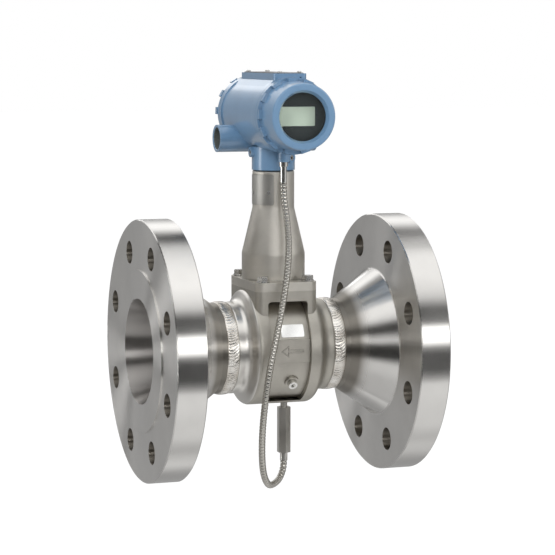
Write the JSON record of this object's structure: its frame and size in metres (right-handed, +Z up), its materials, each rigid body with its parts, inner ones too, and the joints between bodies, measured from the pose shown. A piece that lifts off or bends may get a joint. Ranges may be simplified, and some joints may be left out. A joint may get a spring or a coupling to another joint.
{
  "type": "vortex flow meter",
  "caption": "In-line vortex flow meter with weld-neck flanges, a bar across the bore, a display head on a tube and a temperature probe on an armoured cable.",
  "frame": {"origin": "centre of the inlet flange's raised face", "axes": "+X along the pipe, out of the inlet; +Z up the neck to the head; the display looks towards -Y"},
  "size_m": [0.273, 0.254, 0.4063],
  "materials": {
    "flange_steel": "turned, bright",
    "weld_steel": "rippled weld bead",
    "cast_steel": "blasted casting, dull",
    "bolt_steel": "bright",
    "fitting_steel": "turned, satin",
    "label_film": "matt white, bare",
    "tag_steel": "satin sheet, bare",
    "blue_paint": "satin mid-blue enamel",
    "window": "clear toughened glass",
    "retainer_steel": "dark ring",
    "black_plastic": "black, matt",
    "display_grey": "grey-green, blank",
    "terminal_brass": "plated",
    "seal_rubber": "black",
    "lead_sheath": "grey sheath",
    "cable_armour": "ribbed flexible armour"
  },
  "bodies": {
    "meter": {"inlet_flange": "flange_steel", "outlet_flange": "flange_steel", "inlet_weld": "weld_steel", "outlet_weld": "weld_steel", "meter_body": "cast_steel", "body_plug": "fitting_steel", "body_label": "label_film", "vortex_sensor": "fitting_steel", "sensor_nut": "fitting_steel", "sensor_lead": "lead_sheath", "support_tube": "cast_steel", "foot_washers": "bolt_steel", "foot_bolts": "bolt_steel", "neck_tag": "tag_steel", "tag_pins": "bolt_steel", "temperature_probe": "fitting_steel", "probe_adapter": "fitting_steel", "probe_ferrule": "fitting_steel", "armoured_cable": "cable_armour"},
    "head": {"housing": "blue_paint", "housing_set_screws": "bolt_steel", "conduit_plug": "fitting_steel", "head_plate": "tag_steel", "head_plate_screws": "bolt_steel", "display_module": "black_plastic", "display_panel": "display_grey", "electronics_pack": "black_plastic", "sensor_lead_plug": "black_plastic", "terminal_block": "black_plastic", "terminal_screws": "terminal_brass", "head_ferrule": "fitting_steel"},
    "front_seal_ring": {"front_seal": "seal_rubber"},
    "window_cover": {"front_cover": "blue_paint", "window_glass": "window", "glass_retainer": "retainer_steel"},
    "rear_seal_ring": {"rear_seal": "seal_rubber"},
    "terminal_cover": {"rear_cover": "blue_paint"}
  },
  "joints": [
    {"name": "head_swivel", "type": "hinge", "parent": "meter", "child": "head", "pos_m": [-0.1365, 0, 0.182], "axis": [0, 0, 1], "range_deg": [-90, 90], "deforming": ["armoured_cable"]},
    {"name": "front_cover_travel", "type": "slide", "parent": "head", "child": "front_seal_ring", "axis": [0, -1, 0], "range_m": [0, 0.0091]},
    {"name": "front_cover_turn", "type": "hinge", "parent": "front_seal_ring", "child": "window_cover", "pos_m": [-0.1365, -0.055, 0.2265], "axis": [0, -1, 0], "range_deg": [0, 2160]},
    {"name": "rear_cover_travel", "type": "slide", "parent": "head", "child": "rear_seal_ring", "axis": [0, 1, 0], "range_m": [0, 0.0091]},
    {"name": "rear_cover_turn", "type": "hinge", "parent": "rear_seal_ring", "child": "terminal_cover", "pos_m": [-0.1365, 0.055, 0.2265], "axis": [0, 1, 0], "range_deg": [0, 2160]}
  ],
  "couplings": [
    {"joint": "front_cover_travel", "follows": "front_cover_turn", "m_per_rad": 0.00023873},
    {"joint": "rear_cover_travel", "follows": "rear_cover_turn", "m_per_rad": 0.00023873}
  ]
}
